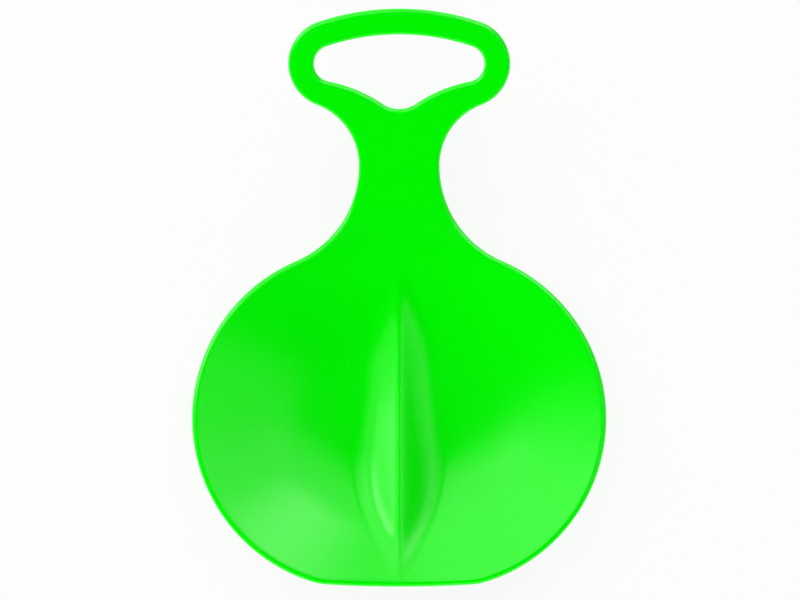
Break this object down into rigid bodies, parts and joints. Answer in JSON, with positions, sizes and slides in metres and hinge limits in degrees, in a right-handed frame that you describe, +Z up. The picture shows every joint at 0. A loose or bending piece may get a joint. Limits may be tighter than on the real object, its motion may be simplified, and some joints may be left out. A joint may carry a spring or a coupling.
{
  "type": "snow slider sled",
  "caption": "Moulded snow slider with a round dished seat, a central ridge, a rolled rim, and a narrow neck rising to a loop handle.",
  "frame": {"origin": "middle of the overall length and width, at the level of the ground that the seat's two flats rest on", "axes": "+Y from the tail towards the loop handle, +X across, to the rider's right when facing the handle, +Z up out of the seat"},
  "size_m": [0.38, 0.5294, 0.0792],
  "materials": {
    "green_plastic": "smooth satin-gloss injection moulding in bright green"
  },
  "bodies": {
    "root": {"sled_shell": "green_plastic"}
  },
  "joints": []
}
